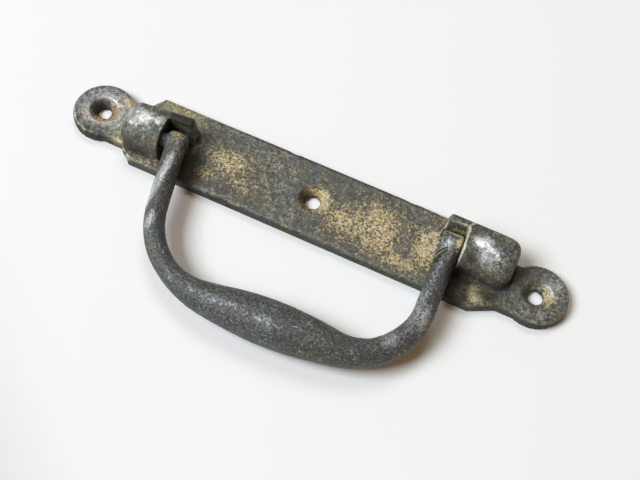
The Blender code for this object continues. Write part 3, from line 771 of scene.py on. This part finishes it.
def cut(thing, cuts):
    """Scores a narrow black groove into the upper side between the two ends of each cut."""
    corners, normals = corners_of(thing)
    for start, end, half_width, depth in cuts:
        along = np.subtract(end, start)
        off = corners[:, :2] - start
        share = np.clip(off @ along / (along @ along), 0, 1)
        near = np.linalg.norm(off - share[:, None] * along, axis=1) / half_width
        facing = np.clip(normals[:, 2] * CUT_FACING, 0, 1)
        groove = np.clip(1 - near ** 2, 0, 1) * facing
        corners -= normals * (depth * groove)[:, None]
        blacken(thing, CUT_SOOT * groove)
    put_corners(thing, corners)


def lay_along(thing, line):
    """Stores each corner's place along and aside of the line, and its height."""
    corners, _ = corners_of(thing)
    line = np.array(line)
    spans = np.diff(line, axis=0)
    lengths = np.linalg.norm(spans, axis=1)
    before = np.concatenate([[0], np.cumsum(lengths)])[:-1]
    off = corners[:, None, :2] - line[None, :-1]
    share = np.clip((off * spans).sum(2) / lengths ** 2, 0, 1)
    gap = off - share[:, :, None] * spans
    nearest = np.linalg.norm(gap, axis=2).argmin(1)
    pick = np.arange(len(corners))
    side = gap[pick, nearest, 0] * spans[nearest, 1] - gap[pick, nearest, 1] * spans[nearest, 0]
    along = before[nearest] + share[pick, nearest] * lengths[nearest]
    hold_lay(thing, along, side / lengths[nearest], corners[:, 2])


bail_metal = brass_material(
    "handled bail brass", old_brass, Speckle=0.48, Grain_Size=0.0007, Scratches=0.75,
    Pale_Tarnish=(0.13, 0.135, 0.13, 1), Blue_Tarnish=(0.115, 0.14, 0.15, 1),
    Dark_Tarnish=(0.028, 0.030, 0.028, 1))
cast_bail = merged_copy(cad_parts["bail"], "cast_bail")
even_skin(cast_bail, BAIL_CELL, BAIL_SOFTENING)
dent(cast_bail, BAIL_DENTS)
lay_along(cast_bail, BAIL_LINE)
paint_all(cast_bail, bare=BAIL_BARE, green=BAIL_GREEN, rusted=BAIL_RUST, polish=BAIL_POLISH,
          soot=BAIL_SOOT, worn=BAIL_WORN)
cut(cast_bail, BAIL_CUTS)
cast(cast_bail, "bail", BAIL_SEED, bail_metal, Lump_Depth=0.00010, Grain_Depth=0.00008,
     Pit_Depth=0.00016, Pit_Size=0.0014)
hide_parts("bail")
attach(cast_bail, "bail")


# The table: a sheet of near-white paper, level with the plate's back, with a painted shadow
# that greys it towards its front left. It shows the bail's soft shadows, and isn't part of the
# handle.

TABLE_HALF = 1.2
TABLE_WHITE = (0.90, 0.90, 0.90, 1)
TABLE_GREY = (0.62, 0.60, 0.59, 1)
# The painted shadow's grey ends, and the white begins, at these values of the slant times x, plus
# y.
TABLE_SLANT = 0.8
TABLE_FADE = (-0.180, -0.085)
PAPER_ROUGHNESS = 0.8
PAPER_SPECULAR = 0.2


def sheet(name, corners, faces, material):
    """An object of those corners and faces, in that material."""
    mesh = bpy.data.meshes.new(name)
    mesh.from_pydata(corners, [], faces)
    mesh.materials.append(material)
    return placed(name, mesh)


paper, paper_tree = new_material("table paper")
paper_place = add(paper_tree, "ShaderNodeTexCoord").outputs["Object"]
paper_parts = add(paper_tree, "ShaderNodeSeparateXYZ", {0: paper_place}).outputs
paper_fade = sum_of(paper_tree, "MULTIPLY_ADD", paper_parts[0], TABLE_SLANT, paper_parts[1])
paper_fade = ramp(paper_tree, paper_fade, *TABLE_FADE)
paper_tone = mix(paper_tree, paper_fade, TABLE_GREY, TABLE_WHITE)
paper_shader = first_node(paper_tree, "BSDF_PRINCIPLED")
paper_tree.links.new(paper_tone, paper_shader.inputs["Base Color"])
paper_shader.inputs["Roughness"].default_value = PAPER_ROUGHNESS
paper_shader.inputs["Specular IOR Level"].default_value = PAPER_SPECULAR
table_corners = [(x * TABLE_HALF, y * TABLE_HALF, 0)
                 for x, y in ((-1, -1), (1, -1), (1, 1), (-1, 1))]
table = sheet("table", table_corners, [(0, 1, 2, 3)], paper)


# The light: a dim warm room all round, one broad window on the left, which throws the bail's
# shadow to the right, and a pale ceiling behind, which shines in the crowns of the ears.

ROOM_LIGHT = 0.19
ROOM_TINT = (1.0, 0.65, 0.30, 1)
WINDOW_FROM = Vector((-1.32, -0.87, 1.95))
WINDOW_SIZE = 1.15
WINDOW_POWER = 62.0
WINDOW_TINT = (0.923, 1.002, 1.066)
CEILING_FROM = Vector((-0.22, 0.62, 1.25))
CEILING_SIZE = 0.55
CEILING_POWER = 4.2
CEILING_TINT = (0.92, 0.97, 1.0)

world = bpy.data.worlds.new("warm room")
bpy.context.scene.world = world
world.use_nodes = True
sky = first_node(world.node_tree, "BACKGROUND")
sky.inputs["Color"].default_value = ROOM_TINT
sky.inputs["Strength"].default_value = ROOM_LIGHT


def lamp_at(name, place, size, power, tint):
    """A square lamp that faces the middle of the handle."""
    light = bpy.data.lights.new(name, "AREA")
    light.shape = "SQUARE"
    light.size = size
    light.energy = power
    light.color = tint
    lamp = placed(name, light)
    lamp.location = place
    lamp.rotation_euler = (-place).to_track_quat("-Z", "Y").to_euler()


lamp_at("window", WINDOW_FROM, WINDOW_SIZE, WINDOW_POWER, WINDOW_TINT)
lamp_at("ceiling", CEILING_FROM, CEILING_SIZE, CEILING_POWER, CEILING_TINT)


# The backdrop: a low band of pale paper that stands round the table, far behind the handle, so
# that a low view ends in light grey. It is pale to the eye and in a mirror, and dim as light.

BACKDROP_RADIUS = 1.15
BACKDROP_HEIGHT = 0.20
BACKDROP_SIDES = 72
BACKDROP_TONE = (0.62, 0.61, 0.60, 1)

backdrop_turns = [math.tau * side / BACKDROP_SIDES for side in range(BACKDROP_SIDES)]
backdrop_corners = [(BACKDROP_RADIUS * math.cos(turn), BACKDROP_RADIUS * math.sin(turn), height)
                    for height in (0.0, BACKDROP_HEIGHT) for turn in backdrop_turns]
backdrop_sides = [(side, (side + 1) % BACKDROP_SIDES) for side in range(BACKDROP_SIDES)]
backdrop_faces = [(end, start, start + BACKDROP_SIDES, end + BACKDROP_SIDES)
                  for start, end in backdrop_sides]
band, band_tree = new_material("backdrop paper")
band_rays = add(band_tree, "ShaderNodeLightPath").outputs
band_seen = sum_of(band_tree, "MAXIMUM", band_rays["Is Camera Ray"], band_rays["Is Glossy Ray"])
band_seen = sum_of(band_tree, "MAXIMUM", band_seen, band_rays["Is Transmission Ray"])
band_dim = [share * ROOM_LIGHT for share in ROOM_TINT[:3]] + [1]
band_tone = mix(band_tree, band_seen, band_dim, BACKDROP_TONE)
band_glow = add(band_tree, "ShaderNodeEmission", {"Color": band_tone})
band_end = first_node(band_tree, "OUTPUT_MATERIAL")
band_tree.links.new(band_glow.outputs[0], band_end.inputs["Surface"])
backdrop = sheet("backdrop", backdrop_corners, backdrop_faces, band)


# The camera: the photograph's own view, from the front and well above, turned a little in
# the hand so that the plate runs down from left to right.

VIEW_AZIMUTH = math.radians(17.642)
VIEW_HEIGHT = math.radians(62.0)
VIEW_ROLL = math.radians(7.734)
VIEW_DISTANCE = 0.305639
VIEW_TARGET = Vector((0.007196, -0.010194, 0.0))
LENS = 56.18
SENSOR_WIDTH = 36.0
NEAREST_SEEN = 0.01

plate_low, plate_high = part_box("base_plate")
plate_middle = Vector((0, (plate_low.y + plate_high.y) / 2, 0))
back = Vector((math.sin(VIEW_AZIMUTH) * math.cos(VIEW_HEIGHT),
               -math.cos(VIEW_AZIMUTH) * math.cos(VIEW_HEIGHT),
               math.sin(VIEW_HEIGHT)))
level = (-back).cross(Vector((0, 0, 1))).normalized()
rise = level.cross(-back)
right = level * math.cos(VIEW_ROLL) + rise * math.sin(VIEW_ROLL)
up = rise * math.cos(VIEW_ROLL) - level * math.sin(VIEW_ROLL)
eye = plate_middle + VIEW_TARGET + back * VIEW_DISTANCE
view = bpy.data.cameras.new("photo view")
view.lens = LENS
view.sensor_width = SENSOR_WIDTH
view.clip_start = NEAREST_SEEN
camera = placed("photo view", view)
camera.matrix_world = Matrix((
    (right.x, up.x, back.x, eye.x), (right.y, up.y, back.y, eye.y),
    (right.z, up.z, back.z, eye.z), (0, 0, 0, 1)))
bpy.context.scene.camera = camera
bpy.context.scene.view_settings.view_transform = "Standard"
